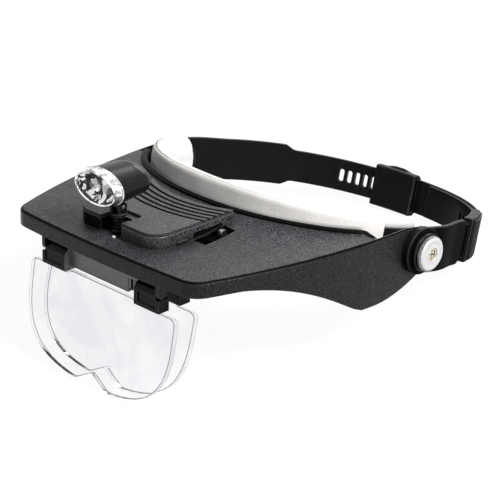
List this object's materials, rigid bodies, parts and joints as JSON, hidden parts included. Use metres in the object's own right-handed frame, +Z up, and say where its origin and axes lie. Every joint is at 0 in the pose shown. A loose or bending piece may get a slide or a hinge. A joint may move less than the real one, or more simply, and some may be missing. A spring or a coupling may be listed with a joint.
{
  "type": "lighted headband magnifier",
  "caption": "Head-worn magnifier: tilting visor with flip-up and fixed lens plates, swivelling lamp and battery box, on a padded adjustable headband.",
  "frame": {"origin": "centre of the bounding box in X and Y, on the plane the object stands on", "axes": "+X to the wearer's left, +Y to the back of the head, +Z up, standing on the rear lens plate and the rear strap"},
  "size_m": [0.197, 0.2544, 0.1103],
  "materials": {
    "black_plastic": "moulded, satin to glossy black",
    "charcoal_plastic": "fine matt grain, charcoal",
    "grey_plastic": "fine matt grain, grey",
    "foam": "soft closed-cell foam with a rubbed skin",
    "steel": "plain bright steel",
    "knob_metal": "satin, knurled rim",
    "brass": "turned brass",
    "chrome": "bright vacuum-plated chrome",
    "clear_acrylic": "polished clear acrylic",
    "board": "green circuit board",
    "cell": "printed sleeve over a metal can"
  },
  "bodies": {
    "headband": {"front_band": "black_plastic", "sweatband": "foam", "pivot_bolts": "steel"},
    "strap_loop": {"side_strap_left": "black_plastic", "side_strap_right": "black_plastic", "rear_strap": "black_plastic", "pivot_washers": "black_plastic"},
    "left_knob": {"knob_left": "knob_metal", "insert_left": "brass"},
    "right_knob": {"knob_right": "knob_metal", "insert_right": "brass"},
    "visor": {"visor_shell": "charcoal_plastic", "battery_tray": "black_plastic", "tray_screws": "steel", "battery_contacts": "steel", "battery_front": "cell", "battery_middle": "cell", "battery_rear": "cell", "switch_body": "black_plastic", "rear_lens_holder": "black_plastic", "holder_screws": "steel", "hinge_pins": "steel"},
    "lid": {"battery_lid": "grey_plastic"},
    "switch": {"switch_slider": "steel"},
    "front_holder": {"front_lens_holder": "black_plastic"},
    "front_lens": {"front_lens_plate": "clear_acrylic"},
    "rear_lens": {"rear_lens_plate": "clear_acrylic"},
    "lamp_arm": {"lamp_post": "black_plastic", "post_screw": "steel", "tilt_pin": "steel"},
    "lamp_head": {"lamp_housing": "charcoal_plastic", "lamp_bezel": "chrome", "lamp_reflector": "chrome", "lamp_leds": "clear_acrylic", "led_board": "board", "lamp_window": "clear_acrylic"}
  },
  "joints": [
    {"name": "visor_tilt", "type": "hinge", "parent": "headband", "child": "visor", "pos_m": [0, 0.02248, 0.04598], "axis": [-1, 0, 0], "range_deg": [-10, 80]},
    {"name": "strap_tilt", "type": "hinge", "parent": "headband", "child": "strap_loop", "pos_m": [0, 0.02248, 0.04598], "axis": [-1, 0, 0], "range_deg": [-12, 12]},
    {"name": "left_knob_turn", "type": "hinge", "parent": "headband", "child": "left_knob", "pos_m": [0.095, 0.02248, 0.04598], "axis": [1, 0, 0], "range_deg": [-180, 180]},
    {"name": "right_knob_turn", "type": "hinge", "parent": "headband", "child": "right_knob", "pos_m": [-0.095, 0.02248, 0.04598], "axis": [-1, 0, 0], "range_deg": [-180, 180]},
    {"name": "front_lens_flip", "type": "hinge", "parent": "visor", "child": "front_holder", "pos_m": [0, -0.11117, 0.06192], "axis": [-1, 0, 0], "range_deg": [0, 90]},
    {"name": "front_lens_slide", "type": "slide", "parent": "front_holder", "child": "front_lens", "axis": [0, -0.2658, -0.964], "range_m": [0, 0.007]},
    {"name": "rear_lens_slide", "type": "slide", "parent": "visor", "child": "rear_lens", "axis": [0, -0.3275, -0.9449], "range_m": [0, 0.007]},
    {"name": "lamp_swivel", "type": "hinge", "parent": "visor", "child": "lamp_arm", "pos_m": [-0.006, -0.0933, 0.07681], "axis": [0, 0.1118, 0.9937], "range_deg": [-60, 60]},
    {"name": "lamp_tilt", "type": "hinge", "parent": "lamp_arm", "child": "lamp_head", "pos_m": [-0.006, -0.09215, 0.08705], "axis": [0.9998, -0.0173, 0.002], "range_deg": [-25, 25]},
    {"name": "lid_slide", "type": "slide", "parent": "visor", "child": "lid", "axis": [0, 0.9937, -0.1118], "range_m": [0, 0.005]},
    {"name": "switch_slide", "type": "slide", "parent": "visor", "child": "switch", "axis": [0, -0.9937, 0.1118], "range_m": [0, 0.004]}
  ]
}
